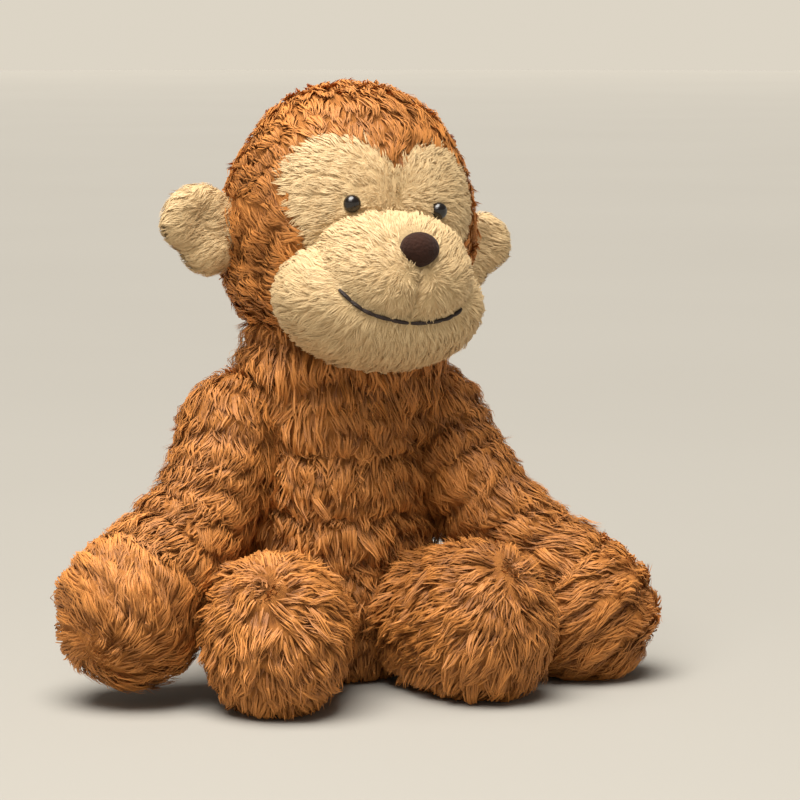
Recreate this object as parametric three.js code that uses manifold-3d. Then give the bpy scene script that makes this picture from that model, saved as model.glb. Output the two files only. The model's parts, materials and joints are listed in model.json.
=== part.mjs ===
// A sitting monkey, 185 mm tall under its pile, sewn from long brown and short cream plush.
// It faces -Y, its own left hand is on the +X side, and it sits on the plane Z = 0.
// Every panel is a shell as thick as the backing with the roots of its pile.
// Each limb, the head, the ears and the tail turn about the middle of a round joint.

import * as THREE from 'three';
import { mergeVertices } from 'three/addons/utils/BufferGeometryUtils.js';
import Module from 'manifold-3d';

const wasm = await Module();
wasm.setup();

// ---- driving dimensions, in millimetres and degrees ----

const SKIN = 2.6; // a plush panel with the roots of its pile
const GAP = 0.3; // between pieces that touch
const PLAY = 1.3; // round the ball of a moving joint
const WAD = 0.66; // radius of the filling inside a joint's ball, over the ball's own
const NECK_WAD = 0.78; // radius of the neck's filling, over the neck's own

const TORSO_DEPTH = 0.86; // the torso's depth over its width
const TORSO_BACK = 6; // how far the seat's middle lies behind the origin
const TORSO_LEAN = 0.085; // forward lean per millimetre of height
const TORSO_SIDE = [[23, 0], [29.5, 8], [32, 27], [29.5, 50], [27.5, 72], [26.5, 90], [17, 100], [0, 101]];
const SEAT_RIM = 7; // height of the seat panel's edge
const SIDE_SEAM_Y = 5; // plane that parts the front panel from the back panels
const SEAT_POUCH_TOP = 17; // level of the pellets inside the seat

const NECK = new THREE.Vector3(3, -2, 101);
const NECK_RADIUS = 21;
const NECK_BAND = 10; // half height of the neck's fabric band

const HEAD_PLACE = new THREE.Vector3(5, -6, 141.5);
const HEAD_ROLL = 6;
const HEAD_TURN = 3;
const HEAD = { centre: [0, 4, 4], radii: [37.5, 35.5, 39.5] };
const CHIN = { centre: [0, -25, -19], radii: [31.5, 22.5, 20] };
const MUZZLE = { centre: [0, -30, -12], radii: [25.5, 21.5, 18] };
// Half of the brow panel's outline: the curves from the notch over the nose down to a corner.
const BROW = {
  notch: [0, 27],
  curves: [[4, 30, 9, 31.5, 17, 31], [26, 31, 33.5, 23, 33.5, 14], [34, 5, 32, 0, 29, -6]],
  back: -2,
  depth: 60,
};

const NOSE = { centre: [0, -49.2, -1], radii: [6.6, 4.6, 5.6] };
const EYE = { place: [14.7, -30.6, 10], radius: 3.1, stem: 1.6, length: 12 };
const WASHER = { inner: 2.1, outer: 5.5, thickness: 1.2, depth: 7.4 };
const SMILE = [[22, -15.5], [17.5, -20.3], [10.7, -22.9], [0.9, -23.6]];
const THREAD_RADIUS = 0.55;

const EAR = { place: [49, 8, -2], radii: [11.5, 5, 13], root: 38.5, rootRadii: [4.6, 4.6, 10] };

const SHOULDER = { x: 34, y: -1, z: 82, ball: 12 };
const ARM = { thickness: 10.8, seamTilt: 0.4, pouchAt: 62 }; // distances from the shoulder
const HANDS = {
  right: { end: [-75, -18, 29], bow: [5, 5, 3], radius: 19.3, tip: 20.5 },
  left: { end: [74, -32, 20.5], bow: [-2, 4, 6], radius: 19, tip: 19 },
};

const HIP = { x: 19, y: -19, z: 21, ball: 14 };
const LEG = { thickness: 13.6, pouchAt: 34, soleAt: 7 }; // from the hip, and beyond a foot's middle
const FEET = {
  right: { end: [-37, -47, 22.6], bow: [0, 0, 0], radius: 22.2, tip: 23 },
  left: { end: [30.5, -49, 22.6], bow: [0, 0, 0], radius: 22.2, tip: 23 },
};

const TAIL = { root: [0, 31, 13], end: [36, 88, 8.4], bow: [-22, 13, -1], ball: 7, radius: 7.6, tip: 8 };

const LABEL = { size: [10, 0.8, 14], place: [38, 5, 21] };
const LIMB_SWELL = { before: 0.75, least: 0.6, radius: 0.9 }; // where and how wide a limb's end starts
const ROOT_ARC = 105; // degrees of the ball at a limb's root

const FAR = 500; // side of a block that takes in all on one side of a plane
const ROUND = 12; // facets round a limb, the neck or a socket
const HOLLOW_ROUND = 8; // facets round the hollow of a limb
const BIG_ROUND = 16; // facets round the head and the torso
const SMALL_ROUND = 8; // facets round an eye, a washer or a wad
const ARC_STEPS = 3; // facets along the ball or the round end of a limb
const SIDE_STEPS = 5; // facets along the side of a limb
const TORSO_STEPS = 11; // facets up the side of the torso
const BROW_STEPS = 5; // facets along each curve of the brow panel
const THREAD_STEPS = 10; // facets along half of the smile
const THREAD_ROUND = 3; // facets round half of the thread
const EGG_RINGS = 0.6; // rings of an egg over its facets

// ---- colours ----

const FINISHES = {
  brown: { color: 0x8f5226, roughness: 0.95, metalness: 0 },
  cream: { color: 0xdcbf93, roughness: 0.95, metalness: 0 },
  suede: { color: 0x46302c, roughness: 0.85, metalness: 0 },
  gloss: { color: 0x0b0908, roughness: 0.15, metalness: 0 },
  thread: { color: 0x35221e, roughness: 0.7, metalness: 0 },
  filling: { color: 0xf2f0ea, roughness: 1, metalness: 0 },
  calico: { color: 0xd9cfb8, roughness: 0.9, metalness: 0 },
  washer: { color: 0xe6e4dd, roughness: 0.5, metalness: 0 },
  label: { color: 0xf4f2ee, roughness: 0.8, metalness: 0 },
};

// ---- solids ----

const vec = (list) => new THREE.Vector3(...list);
const mirrored = ([x, y, z], side) => [x * side, y, z];

function plainMesh(geometry) {
  const bare = geometry.clone();
  for (const name of ['normal', 'uv', 'uv1', 'color']) bare.deleteAttribute(name);
  const merged = mergeVertices(bare, 1e-3);
  const index = merged.index.array;
  const kept = [];
  for (let i = 0; i < index.length; i += 3) {
    const [a, b, c] = [index[i], index[i + 1], index[i + 2]];
    if (a !== b && b !== c && c !== a) kept.push(a, b, c);
  }
  merged.setIndex(kept);
  if (volumeOf(merged) < 0) merged.setIndex(kept.toReversed());
  merged.computeVertexNormals();
  return merged;
}

function volumeOf(geometry) {
  const index = geometry.index.array;
  const points = geometry.attributes.position;
  const corner = [new THREE.Vector3(), new THREE.Vector3(), new THREE.Vector3()];
  let volume = 0;
  for (let i = 0; i < index.length; i += 3) {
    corner.forEach((point, k) => point.fromBufferAttribute(points, index[i + k]));
    volume += corner[0].dot(corner[1].cross(corner[2])) / 6;
  }
  return volume;
}

// Moves a closed surface inwards by a distance, or outwards when it is negative.
function inset(geometry, distance) {
  const moved = plainMesh(geometry);
  const points = moved.attributes.position;
  const normals = moved.attributes.normal;
  for (let i = 0; i < points.count; i += 1) {
    const place = new THREE.Vector3().fromBufferAttribute(points, i);
    place.addScaledVector(new THREE.Vector3().fromBufferAttribute(normals, i), -distance);
    points.setXYZ(i, ...place);
  }
  return moved;
}

function solid(geometry) {
  const plain = plainMesh(geometry);
  return new wasm.Manifold(new wasm.Mesh({
    numProp: 3,
    vertProperties: Float32Array.from(plain.attributes.position.array),
    triVerts: Uint32Array.from(plain.index.array),
  }));
}

function toGeometry(manifold) {
  const mesh = manifold.getMesh();
  const geometry = new THREE.BufferGeometry();
  geometry.setAttribute('position', new THREE.BufferAttribute(mesh.vertProperties, mesh.numProp));
  geometry.setIndex(new THREE.BufferAttribute(mesh.triVerts, 1));
  geometry.computeVertexNormals();
  return geometry;
}

const join = (...parts) => parts.reduce((sum, part) => sum.add(part));

function ball(centre, radius, facets = ROUND) {
  const geometry = new THREE.SphereGeometry(radius, facets, facets / 2);
  geometry.rotateX(Math.PI / 2);
  return solid(geometry.translate(...centre));
}

function egg({ centre, radii }, facets = ROUND) {
  const geometry = new THREE.SphereGeometry(1, facets, Math.round(facets * EGG_RINGS));
  geometry.rotateX(Math.PI / 2);
  return geometry.scale(...radii).translate(...centre);
}

// Everything on the side of a plane that its normal points to.
function beyond(point, normal) {
  const geometry = new THREE.BoxGeometry(FAR, FAR, FAR).translate(0, 0, FAR / 2);
  const turn = new THREE.Quaternion().setFromUnitVectors(new THREE.Vector3(0, 0, 1), normal);
  return solid(geometry.applyQuaternion(turn).translate(...point));
}

// Parts a shell at a plane into the side its normal points to and the other side.
function part(shell, point, normal) {
  const near = point.clone().addScaledVector(normal, GAP / 2);
  const far = point.clone().addScaledVector(normal, -GAP / 2);
  return [shell.intersect(beyond(near, normal)), shell.intersect(beyond(far, normal.clone().negate()))];
}

// A round limb: a ball at its root, a spine that may bow, and a swollen round end.
function limb({ root, end, bow, ball: lobe, middle, radius, tip }, facets = ROUND) {
  const from = vec(root);
  const to = vec(end);
  const mid = from.clone().add(to).multiplyScalar(0.5).add(vec(bow));
  const spine = new THREE.QuadraticBezierCurve3(from, mid, to);
  const length = spine.getLength();
  const outline = [];
  for (let step = 0; step <= ARC_STEPS; step += 1) {
    const angle = THREE.MathUtils.degToRad(-90 + (step * ROOT_ARC) / ARC_STEPS);
    outline.push(new THREE.Vector2(lobe * Math.cos(angle), lobe * Math.sin(angle)));
  }
  const rootEnd = outline.at(-1);
  const swellAt = Math.max(length - radius * LIMB_SWELL.before, lobe * LIMB_SWELL.least);
  const waist = new THREE.Vector2(middle, (rootEnd.y + swellAt) / 2);
  const swell = new THREE.Vector2(radius * LIMB_SWELL.radius, swellAt);
  const widest = new THREE.Vector2(radius, length);
  const side = new THREE.SplineCurve([rootEnd, waist, swell, widest]);
  outline.push(...side.getPoints(SIDE_STEPS).slice(1));
  for (let step = 1; step <= ARC_STEPS; step += 1) {
    const angle = THREE.MathUtils.degToRad((step * 90) / ARC_STEPS);
    const out = step === ARC_STEPS ? 0 : radius * Math.cos(angle);
    outline.push(new THREE.Vector2(out, length + tip * Math.sin(angle)));
  }
  outline[0].x = 0;
  const geometry = new THREE.LatheGeometry(outline, facets);
  const points = geometry.attributes.position;
  for (let i = 0; i < points.count; i += 1) {
    const along = points.getY(i);
    const t = THREE.MathUtils.clamp(along / length, 0, 1);
    const ahead = spine.getTangentAt(t);
    const across = new THREE.Vector3().crossVectors(ahead, new THREE.Vector3(0, 0, 1)).normalize();
    const over = new THREE.Vector3().crossVectors(across, ahead);
    const place = spine.getPointAt(t).addScaledVector(ahead, along - t * length);
    place.addScaledVector(across, points.getX(i)).addScaledVector(over, points.getZ(i));
    points.setXYZ(i, ...place);
  }
  return geometry;
}

// ---- the toy ----

const toy = new THREE.Group();

function add(name, manifold, finish, parent = toy) {
  const mesh = new THREE.Mesh(toGeometry(manifold), new THREE.MeshStandardMaterial(FINISHES[finish]));
  mesh.name = name;
  parent.add(mesh);
}

const SIDES = [['left', 1], ['right', -1]];
const shoulderAt = (side) => [SHOULDER.x * side, SHOULDER.y, SHOULDER.z];
const hipAt = (side) => [HIP.x * side, HIP.y, HIP.z];
const UP = new THREE.Vector3(0, 0, 1);
const BACK = new THREE.Vector3(0, 1, 0);
const LEFT = new THREE.Vector3(1, 0, 0);

// ---- torso: a pear that leans forward, with a round socket for each joint ----

function torsoSurface() {
  const side = new THREE.SplineCurve(TORSO_SIDE.map((place) => new THREE.Vector2(...place)));
  const outline = [new THREE.Vector2(0, 0), ...side.getPoints(TORSO_STEPS)];
  const geometry = new THREE.LatheGeometry(outline, BIG_ROUND);
  geometry.rotateX(Math.PI / 2).scale(1, TORSO_DEPTH, 1);
  const points = geometry.attributes.position;
  for (let i = 0; i < points.count; i += 1) {
    points.setY(i, points.getY(i) + TORSO_BACK - TORSO_LEAN * points.getZ(i));
  }
  return geometry;
}

function addTorso() {
  const surface = torsoSurface();
  const sockets = join(
    ball(NECK, NECK_RADIUS + PLAY),
    ball(TAIL.root, TAIL.ball + PLAY),
    ...SIDES.map(([, side]) => ball(shoulderAt(side), SHOULDER.ball + PLAY)),
    ...SIDES.map(([, side]) => ball(hipAt(side), HIP.ball + PLAY)),
  );
  const shell = solid(surface).subtract(solid(inset(surface, SKIN))).subtract(sockets);
  const inside = solid(inset(surface, SKIN + GAP)).subtract(sockets);

  const [body, seat] = part(shell, new THREE.Vector3(0, 0, SEAT_RIM), UP);
  const [back, front] = part(body, new THREE.Vector3(0, SIDE_SEAM_Y, 0), BACK);
  const [backLeft, backRight] = part(back, new THREE.Vector3(), LEFT);
  add('torso_front_panel', front, 'brown');
  add('torso_back_left_panel', backLeft, 'brown');
  add('torso_back_right_panel', backRight, 'brown');
  add('seat_panel', seat, 'brown');

  const [stuffing, pouch] = part(inside, new THREE.Vector3(0, 0, SEAT_POUCH_TOP), UP);
  add('torso_stuffing', stuffing, 'filling');
  add('seat_pellet_pouch', pouch, 'calico');

  const label = new THREE.BoxGeometry(...LABEL.size).translate(...LABEL.place);
  add('care_label', solid(label), 'label');
}

// ---- neck: a round wad in a fabric band ----

function addNeck() {
  const outer = ball(NECK, NECK_RADIUS);
  const band = outer.subtract(ball(NECK, NECK_RADIUS - SKIN));
  const top = NECK.clone().addScaledVector(UP, NECK_BAND);
  const bottom = NECK.clone().addScaledVector(UP, -NECK_BAND);
  const [, below] = part(band, top, UP);
  const [ring] = part(below, bottom, UP);
  add('neck_band', ring, 'brown');
  add('neck_stuffing', ball(NECK, NECK_RADIUS * NECK_WAD, SMALL_ROUND), 'filling');
}

// ---- head ----

function placeHead() {
  const head = new THREE.Group();
  head.position.copy(HEAD_PLACE);
  const roll = THREE.MathUtils.degToRad(HEAD_ROLL);
  const turn = THREE.MathUtils.degToRad(HEAD_TURN);
  head.rotation.set(0, roll, turn, 'ZYX');
  head.updateMatrixWorld(true);
  toy.add(head);
  return head;
}

// The block that cuts the brow panel from the skull: two lobes that meet in a notch over the nose.
function browPrism() {
  const { notch, curves, back, depth } = BROW;
  const outline = new THREE.Shape();
  outline.moveTo(...notch);
  for (const curve of curves) outline.bezierCurveTo(...curve);
  const starts = [notch, ...curves.map((curve) => curve.slice(-2))];
  const corner = starts.at(-1);
  outline.lineTo(-corner[0], corner[1]);
  for (let i = curves.length - 1; i >= 0; i -= 1) {
    const [firstX, firstZ, secondX, secondZ] = curves[i];
    outline.bezierCurveTo(-secondX, secondZ, -firstX, firstZ, -starts[i][0], starts[i][1]);
  }
  const geometry = new THREE.ExtrudeGeometry(outline, {
    depth,
    bevelEnabled: false,
    curveSegments: BROW_STEPS,
  });
  return geometry.rotateX(Math.PI / 2).translate(0, back, 0);
}

function eyeAxis(side) {
  const place = vec(mirrored(EYE.place, side));
  return vec(HEAD.centre).sub(place).normalize();
}

// A cylinder or ring that lies along an eye's stem, starting a distance behind the bead.
function onEyeAxis(geometry, side, start) {
  const inward = eyeAxis(side);
  const turn = new THREE.Quaternion().setFromUnitVectors(BACK, inward);
  const place = vec(mirrored(EYE.place, side)).addScaledVector(inward, start);
  return solid(geometry.applyQuaternion(turn).translate(...place));
}

function eyeParts(side, spare) {
  const bead = ball(mirrored(EYE.place, side), EYE.radius + spare, SMALL_ROUND);
  const length = EYE.length + spare;
  const stem = new THREE.CylinderGeometry(EYE.stem + spare, EYE.stem + spare, length, SMALL_ROUND);
  return bead.add(onEyeAxis(stem.translate(0, length / 2, 0), side, 0));
}

function washer(side) {
  const { inner, outer, thickness } = WASHER;
  const outline = [[inner, 0], [outer, 0], [outer, thickness], [inner, thickness], [inner, 0]];
  const ring = new THREE.LatheGeometry(outline.map(([r, y]) => new THREE.Vector2(r, y)), SMALL_ROUND);
  return onEyeAxis(ring, side, WASHER.depth);
}

function washerPocket(side) {
  const deep = WASHER.thickness + 2 * GAP;
  const wide = WASHER.outer + GAP;
  const disc = new THREE.CylinderGeometry(wide, wide, deep, SMALL_ROUND).translate(0, deep / 2 - GAP, 0);
  return onEyeAxis(disc, side, WASHER.depth);
}

// The depth of the muzzle's front at a place on the face.
function muzzleFront(x, z) {
  const fronts = [CHIN, MUZZLE].map(({ centre, radii }) => {
    const across = ((x - centre[0]) / radii[0]) ** 2;
    const high = ((z - centre[2]) / radii[2]) ** 2;
    return centre[1] - radii[1] * Math.sqrt(Math.max(0, 1 - across - high));
  });
  return Math.min(...fronts);
}

function smileThread(side) {
  const flat = new THREE.SplineCurve(SMILE.map(([x, z]) => new THREE.Vector2(x * side, z)));
  const proud = THREAD_RADIUS + GAP / 2;
  const route = flat
    .getPoints(THREAD_STEPS)
    .map(({ x, y }) => new THREE.Vector3(x, muzzleFront(x, y) - proud, y));
  const section = new THREE.Shape();
  section.absarc(0, 0, THREAD_RADIUS, 0, 2 * Math.PI);
  const extrudePath = new THREE.CatmullRomCurve3(route);
  return solid(new THREE.ExtrudeGeometry(section, {
    steps: THREAD_STEPS,
    extrudePath,
    curveSegments: THREAD_ROUND,
  }));
}

function addHead() {
  const head = placeHead();
  const neck = head.worldToLocal(NECK.clone());
  const surfaces = {
    head: egg(HEAD, BIG_ROUND),
    chin: egg(CHIN, BIG_ROUND),
    muzzle: egg(MUZZLE, BIG_ROUND),
  };
  const outer = {};
  const hollow = {};
  const grown = {};
  const inside = {};
  for (const [name, surface] of Object.entries(surfaces)) {
    outer[name] = solid(surface);
    hollow[name] = solid(inset(surface, SKIN));
    grown[name] = solid(inset(surface, -GAP));
    inside[name] = solid(inset(surface, SKIN + GAP));
  }
  const sockets = join(ball(neck, NECK_RADIUS + PLAY), ...SIDES.map(([, side]) => earRoot(side, PLAY)));
  const eyeRoom = join(...SIDES.map(([, side]) => eyeParts(side, GAP)));
  const washerRoom = join(...SIDES.map(([, side]) => washerPocket(side)));

  const face = join(grown.chin, grown.muzzle);
  const skull = outer.head.subtract(hollow.head).subtract(face).subtract(sockets);
  const brow = solid(browPrism());
  add('brow_panel', skull.intersect(brow).subtract(eyeRoom), 'cream', head);
  const crown = skull.subtract(solid(inset(browPrism(), -GAP)));
  const [crownLeft, crownRight] = part(crown, new THREE.Vector3(), LEFT);
  add('crown_left_panel', crownLeft, 'brown', head);
  add('crown_right_panel', crownRight, 'brown', head);

  const chin = outer.chin.subtract(hollow.chin).subtract(grown.muzzle).subtract(hollow.head);
  add('chin_panel', chin.subtract(sockets), 'cream', head);
  const muzzle = outer.muzzle.subtract(hollow.muzzle).subtract(hollow.chin).subtract(hollow.head);
  add('muzzle_panel', muzzle, 'cream', head);

  const filling = join(inside.head, inside.chin, inside.muzzle);
  add('head_stuffing', filling.subtract(sockets).subtract(eyeRoom).subtract(washerRoom), 'filling', head);

  add('nose', solid(egg(NOSE, ROUND)).subtract(face), 'suede', head);
  for (const [label, side] of SIDES) {
    add(`eye_${label}`, eyeParts(side, 0), 'gloss', head);
    add(`eye_${label}_washer`, washer(side), 'washer', head);
    add(`smile_${label}`, smileThread(side), 'thread', head);
    addEar(label, side, head);
  }
}

// ---- ears: two layers of cream plush on a root that is round about the fold ----

function earRoot(side, spare) {
  const centre = [EAR.root * side, EAR.place[1], EAR.place[2]];
  return solid(egg({ centre, radii: EAR.rootRadii.map((radius) => radius + spare) }, ROUND));
}

function addEar(label, side, head) {
  const centre = mirrored(EAR.place, side);
  const whole = join(solid(egg({ centre, radii: EAR.radii }, ROUND)), earRoot(side, 0));
  const [back, front] = part(whole, vec(centre), BACK);
  add(`ear_${label}_front`, front, 'cream', head);
  add(`ear_${label}_back`, back, 'cream', head);
}

// ---- limbs ----

function limbPieces(shape, { halves, seam }) {
  const lining = limb(shape, HOLLOW_ROUND);
  const shell = solid(limb(shape)).subtract(solid(inset(lining, SKIN)));
  const inside = solid(inset(lining, SKIN + GAP));
  const from = vec(shape.root);
  const along = vec(shape.end).sub(from).normalize();
  const normal = halves.clone().addScaledVector(along, -halves.dot(along)).normalize();
  const [firstHalf, secondHalf] = part(shell, from, normal);
  const filled = inside.subtract(ball(shape.root, shape.ball - SKIN + GAP));
  const clear = filled.intersect(beyond(from, along));
  const [pouch, stuffing] = part(clear, from.clone().addScaledVector(along, seam), along);
  const wad = ball(shape.root, shape.ball * WAD, SMALL_ROUND);
  return { firstHalf, secondHalf, pouch, stuffing, wad, along };
}

function addArm(label, side) {
  const hand = HANDS[label];
  const shape = { ...hand, root: shoulderAt(side), ball: SHOULDER.ball, middle: ARM.thickness };
  const outward = new THREE.Vector3(side, 0, ARM.seamTilt);
  const pieces = limbPieces(shape, { halves: outward, seam: ARM.pouchAt });
  add(`arm_${label}_outer_panel`, pieces.firstHalf, 'brown');
  add(`arm_${label}_inner_panel`, pieces.secondHalf, 'brown');
  add(`arm_${label}_stuffing`, pieces.stuffing, 'filling');
  add(`hand_${label}_pellet_pouch`, pieces.pouch, 'calico');
  add(`shoulder_${label}_wad`, pieces.wad, 'filling');
}

function addLeg(label, side) {
  const foot = FEET[label];
  const shape = { ...foot, root: hipAt(side), ball: HIP.ball, middle: LEG.thickness };
  const pieces = limbPieces(shape, { halves: UP, seam: LEG.pouchAt });
  const soleAt = vec(foot.end).addScaledVector(pieces.along, LEG.soleAt);
  const sole = [];
  const sleeve = [];
  for (const half of [pieces.firstHalf, pieces.secondHalf]) {
    const [ahead, behind] = part(half, soleAt, pieces.along);
    sole.push(ahead);
    sleeve.push(behind);
  }
  add(`leg_${label}_top_panel`, sleeve[0], 'brown');
  add(`leg_${label}_under_panel`, sleeve[1], 'brown');
  add(`foot_${label}_upper_sole_panel`, sole[0], 'brown');
  add(`foot_${label}_lower_sole_panel`, sole[1], 'brown');
  add(`leg_${label}_stuffing`, pieces.stuffing, 'filling');
  add(`foot_${label}_pellet_pouch`, pieces.pouch, 'calico');
  add(`hip_${label}_wad`, pieces.wad, 'filling');
}

// ---- tail ----

function addTail() {
  const shape = { ...TAIL, middle: TAIL.ball };
  const lining = limb(shape, HOLLOW_ROUND);
  const shell = solid(limb(shape)).subtract(solid(inset(lining, SKIN)));
  const [top, under] = part(shell, vec(TAIL.root), UP);
  add('tail_top_panel', top, 'brown');
  add('tail_under_panel', under, 'brown');
  add('tail_stuffing', solid(inset(lining, SKIN + GAP)), 'filling');
}

addTorso();
addNeck();
addHead();
for (const [label, side] of SIDES) {
  addArm(label, side);
  addLeg(label, side);
}
addTail();

export default toy;
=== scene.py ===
import json
import math

import bpy
import numpy as np
from mathutils import Euler, Matrix, Vector
from mathutils.bvhtree import BVHTree


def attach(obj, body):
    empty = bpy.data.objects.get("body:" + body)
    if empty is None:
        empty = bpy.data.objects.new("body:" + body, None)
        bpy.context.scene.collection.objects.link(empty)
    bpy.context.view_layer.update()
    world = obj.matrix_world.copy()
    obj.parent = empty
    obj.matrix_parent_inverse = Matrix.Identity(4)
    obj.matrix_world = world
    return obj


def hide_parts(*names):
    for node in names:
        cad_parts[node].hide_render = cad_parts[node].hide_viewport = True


bl_info = {
    "name": "Plush monkey",
    "version": (1, 0, 0),
    "blender": (4, 5, 0),
    "location": "3D View > Sidebar > Plush monkey",
    "description": "Sews, stuffs and brushes a sitting plush monkey round its packed frame",
    "category": "Add Mesh",
}

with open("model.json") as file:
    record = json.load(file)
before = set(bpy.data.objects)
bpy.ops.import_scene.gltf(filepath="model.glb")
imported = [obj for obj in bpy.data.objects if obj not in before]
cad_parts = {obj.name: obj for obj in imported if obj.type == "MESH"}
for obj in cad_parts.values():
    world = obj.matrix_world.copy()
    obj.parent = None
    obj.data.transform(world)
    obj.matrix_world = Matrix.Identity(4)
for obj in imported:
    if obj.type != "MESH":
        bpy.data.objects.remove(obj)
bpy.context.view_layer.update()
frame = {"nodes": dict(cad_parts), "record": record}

MM = 0.001
TINY = 1e-12  # keeps a length from being nothing where something is divided by it
UP = np.array((0.0, 0.0, 1.0))
SIDES = (("left", 1), ("right", -1))
JOINTS = {joint["name"]: joint for joint in frame["record"]["behaviour"]["joints"]}


# ---- settings ----


class HeadSettings(bpy.types.PropertyGroup):
    centre: bpy.props.FloatVectorProperty(
        name="Centre",
        description="Middle of the head, from which its pieces are placed",
        default=(0.005, -0.006, 0.1415),
        subtype="TRANSLATION",
        unit="LENGTH",
    )
    roll: bpy.props.FloatProperty(
        name="Roll",
        description="How far the head leans to its own left",
        default=math.radians(6),
        subtype="ANGLE",
        unit="ROTATION",
    )
    turn: bpy.props.FloatProperty(
        name="Turn",
        description="How far the head turns to its own left",
        default=math.radians(3),
        subtype="ANGLE",
        unit="ROTATION",
    )


class PileSettings(bpy.types.PropertyGroup):
    long: bpy.props.FloatProperty(
        name="Long pile",
        description="Length of the brown pile",
        default=0.0086,
        unit="LENGTH",
    )
    short: bpy.props.FloatProperty(
        name="Short pile",
        description="Length of the cream pile",
        default=0.0038,
        unit="LENGTH",
    )
    long_density: bpy.props.FloatProperty(
        name="Long pile density",
        description="Brown strands on a square centimetre",
        default=104.0,
    )
    short_density: bpy.props.FloatProperty(
        name="Short pile density",
        description="Cream strands on a square centimetre",
        default=290.0,
    )
    row: bpy.props.FloatProperty(
        name="Crimp",
        description="Distance from one crimped row of locks to the next",
        default=0.0088,
        unit="LENGTH",
    )
    seed: bpy.props.IntProperty(name="Seed", description="Start of the random draws", default=7)


class ColourSettings(bpy.types.PropertyGroup):
    brown_root: bpy.props.FloatVectorProperty(
        name="Brown root",
        description="Colour of the brown pile next to the backing",
        default=(0.087, 0.023, 0.0055),
        subtype="COLOR",
    )
    brown_tip: bpy.props.FloatVectorProperty(
        name="Brown tip",
        description="Colour of the brown pile at its tips",
        default=(0.61, 0.24, 0.054),
        subtype="COLOR",
    )
    cream_root: bpy.props.FloatVectorProperty(
        name="Cream root",
        description="Colour of the cream pile next to the backing",
        default=(0.488, 0.326, 0.155),
        subtype="COLOR",
    )
    cream_tip: bpy.props.FloatVectorProperty(
        name="Cream tip",
        description="Colour of the cream pile at its tips",
        default=(0.718, 0.533, 0.292),
        subtype="COLOR",
    )
    nose: bpy.props.FloatVectorProperty(
        name="Nose",
        description="Colour of the suede nose",
        default=(0.03, 0.0095, 0.0045),
        subtype="COLOR",
    )
    thread: bpy.props.FloatVectorProperty(
        name="Thread",
        description="Colour of the smile's thread",
        default=(0.022, 0.011, 0.008),
        subtype="COLOR",
    )


class StageSettings(bpy.types.PropertyGroup):
    azimuth: bpy.props.FloatProperty(
        name="Azimuth",
        description="Where the camera stands round the toy, 0 in front of it",
        default=math.radians(-22),
        subtype="ANGLE",
        unit="ROTATION",
    )
    elevation: bpy.props.FloatProperty(
        name="Elevation",
        description="How far the camera looks down",
        default=math.radians(7),
        subtype="ANGLE",
        unit="ROTATION",
    )
    distance: bpy.props.FloatProperty(
        name="Distance",
        description="From the camera to the point that it looks at",
        default=1.115,
        unit="LENGTH",
    )
    target: bpy.props.FloatVectorProperty(
        name="Target",
        description="The point that the camera looks at",
        default=(0.0235, 0.0, 0.0872),
        subtype="TRANSLATION",
        unit="LENGTH",
    )
    lens: bpy.props.FloatProperty(
        name="Lens", description="Focal length in millimetres on a 36 mm sensor", default=156.6
    )


def settings(group):
    return getattr(bpy.context.scene, "monkey_" + group)


# ---- shader nodes ----


class Value:
    """A number or a node's output that adds Math nodes as it is reckoned with."""

    def __init__(self, finish, socket):
        self.finish = finish
        self.socket = socket

    def maths(self, operation, first, second):
        node = self.finish.node("ShaderNodeMath", {"operation": operation}, first, second)
        return Value(self.finish, node.outputs[0])

    def __add__(self, other):
        return self.maths("ADD", self, other)

    def __radd__(self, other):
        return self.maths("ADD", other, self)

    def __sub__(self, other):
        return self.maths("SUBTRACT", self, other)

    def __rsub__(self, other):
        return self.maths("SUBTRACT", other, self)

    def __mul__(self, other):
        return self.maths("MULTIPLY", self, other)

    def __rmul__(self, other):
        return self.maths("MULTIPLY", other, self)


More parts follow.
